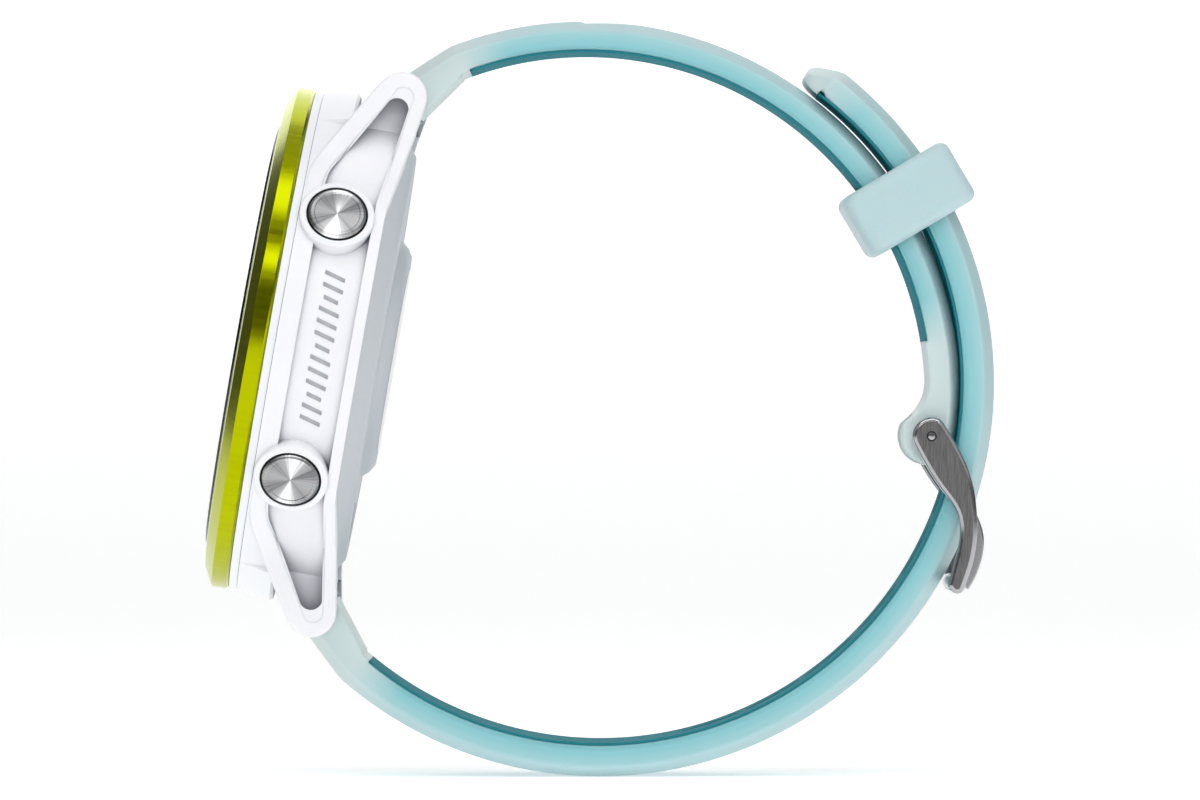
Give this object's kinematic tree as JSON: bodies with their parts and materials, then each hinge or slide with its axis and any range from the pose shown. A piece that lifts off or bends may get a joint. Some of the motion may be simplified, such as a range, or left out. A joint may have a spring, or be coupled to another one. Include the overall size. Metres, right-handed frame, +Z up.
{
  "type": "gps running watch",
  "caption": "Round GPS sports watch with metal bezel, polymer lugged case, side push buttons and a buckled two-layer silicone strap.",
  "frame": {"origin": "under the middle of the bounding box, on the plane that the buckled strap stands on", "axes": "+Z up; the strap loop's axis is Y; the dial faces -X, leaning back 10 degrees, with 12 o'clock up; the 3 o'clock side faces -Y"},
  "size_m": [0.073, 0.0477, 0.0697],
  "materials": {
    "white_polymer": "satin",
    "bezel_anodised": "satin",
    "glass_dark": "gloss",
    "black_adhesive": "matte",
    "display_black": "gloss",
    "flex_amber": "satin",
    "chassis_grey": "matte",
    "board_green": "satin",
    "shield_tin": "satin",
    "antenna_copper": "satin",
    "battery_foil": "satin",
    "motor_steel": "satin",
    "cover_grey": "satin",
    "seal_rubber": "matte",
    "screw_steel": "satin",
    "sensor_glass": "gloss",
    "led_green": "gloss",
    "contact_gold": "polished",
    "button_steel": "satin",
    "spring_steel": "satin",
    "strap_clear": "satin",
    "strap_turquoise": "satin",
    "buckle_steel": "satin"
  },
  "bodies": {
    "watch": {"main_case": "white_polymer", "front_frame_ring": "white_polymer", "bezel": "bezel_anodised", "display_glass": "glass_dark", "display_gasket": "black_adhesive", "display_panel": "display_black", "display_flex": "flex_amber", "inner_chassis": "chassis_grey", "main_board": "board_green", "board_shields": "shield_tin", "antenna_ring": "antenna_copper", "battery": "battery_foil", "vibration_motor": "motor_steel", "rear_cover": "cover_grey", "rear_cover_seal": "seal_rubber", "rear_cover_screws": "screw_steel", "sensor_window": "sensor_glass", "sensor_board": "board_green", "sensor_leds": "led_green", "charging_contacts": "contact_gold", "button_seals": "seal_rubber", "tactile_switches": "shield_tin", "tail_strap": "strap_clear", "tail_strap_lining": "strap_turquoise", "buckle_strap": "strap_clear", "buckle_strap_lining": "strap_turquoise", "buckle_pin": "buckle_steel", "spring_bar_tube_top": "spring_steel", "spring_bar_tube_bottom": "spring_steel", "release_spring_top": "spring_steel", "release_spring_bottom": "spring_steel", "button_spring_start": "spring_steel", "button_spring_back": "spring_steel", "button_spring_light": "spring_steel", "button_spring_up": "spring_steel", "button_spring_down": "spring_steel"},
    "keeper": {"keeper": "strap_clear"},
    "buckle_frame": {"buckle_frame": "buckle_steel"},
    "buckle_tang": {"buckle_tang": "buckle_steel"},
    "release_pin_top": {"release_pin_top": "spring_steel"},
    "release_pin_bottom": {"release_pin_bottom": "spring_steel"},
    "button_start": {"button_start": "button_steel", "button_clip_start": "spring_steel"},
    "button_back": {"button_back": "button_steel", "button_clip_back": "spring_steel"},
    "button_light": {"button_light": "button_steel", "button_clip_light": "spring_steel"},
    "button_up": {"button_up": "button_steel", "button_clip_up": "spring_steel"},
    "button_down": {"button_down": "button_steel", "button_clip_down": "spring_steel"}
  },
  "joints": [
    {"name": "button_start_press", "type": "slide", "parent": "watch", "child": "button_start", "axis": [-0.0894, 0.8572, -0.5072], "range_m": [0, 0.0006], "stiffness_N_per_m": 900, "springref_m": -0.0008, "deforming": ["button_spring_start"]},
    {"name": "button_back_press", "type": "slide", "parent": "watch", "child": "button_back", "axis": [0.0894, 0.8572, 0.5072], "range_m": [0, 0.0006], "stiffness_N_per_m": 900, "springref_m": -0.0008, "deforming": ["button_spring_back"]},
    {"name": "button_light_press", "type": "slide", "parent": "watch", "child": "button_light", "axis": [-0.0894, -0.8572, -0.5072], "range_m": [0, 0.0006], "stiffness_N_per_m": 900, "springref_m": -0.0008, "deforming": ["button_spring_light"]},
    {"name": "button_up_press", "type": "slide", "parent": "watch", "child": "button_up", "axis": [0, -1, 0], "range_m": [0, 0.0006], "stiffness_N_per_m": 900, "springref_m": -0.0008, "deforming": ["button_spring_up"]},
    {"name": "button_down_press", "type": "slide", "parent": "watch", "child": "button_down", "axis": [0.0894, -0.8572, 0.5072], "range_m": [0, 0.0006], "stiffness_N_per_m": 900, "springref_m": -0.0008, "deforming": ["button_spring_down"]},
    {"name": "keeper_slide", "type": "hinge", "parent": "watch", "child": "keeper", "pos_m": [0.00013, 0, 0.0364], "axis": [0, -1, 0], "range_deg": [-16, 14]},
    {"name": "buckle_frame_swing", "type": "hinge", "parent": "watch", "child": "buckle_frame", "pos_m": [0.03066, 0, 0.03141], "axis": [0, -1, 0], "range_deg": [0, 4]},
    {"name": "buckle_tang_swing", "type": "hinge", "parent": "watch", "child": "buckle_tang", "pos_m": [0.03066, 0, 0.03141], "axis": [0, -1, 0], "range_deg": [0, 4]},
    {"name": "release_pin_top_slide", "type": "slide", "parent": "watch", "child": "release_pin_top", "axis": [0, 1, 0], "range_m": [0, 0.0014], "stiffness_N_per_m": 500, "springref_m": -0.001, "deforming": ["release_spring_top"]},
    {"name": "release_pin_bottom_slide", "type": "slide", "parent": "watch", "child": "release_pin_bottom", "axis": [0, 1, 0], "range_m": [0, 0.0014], "stiffness_N_per_m": 500, "springref_m": -0.001, "deforming": ["release_spring_bottom"]}
  ],
  "couplings": [
    {"joint": "buckle_tang_swing", "follows": "buckle_frame_swing", "ratio": 1}
  ]
}
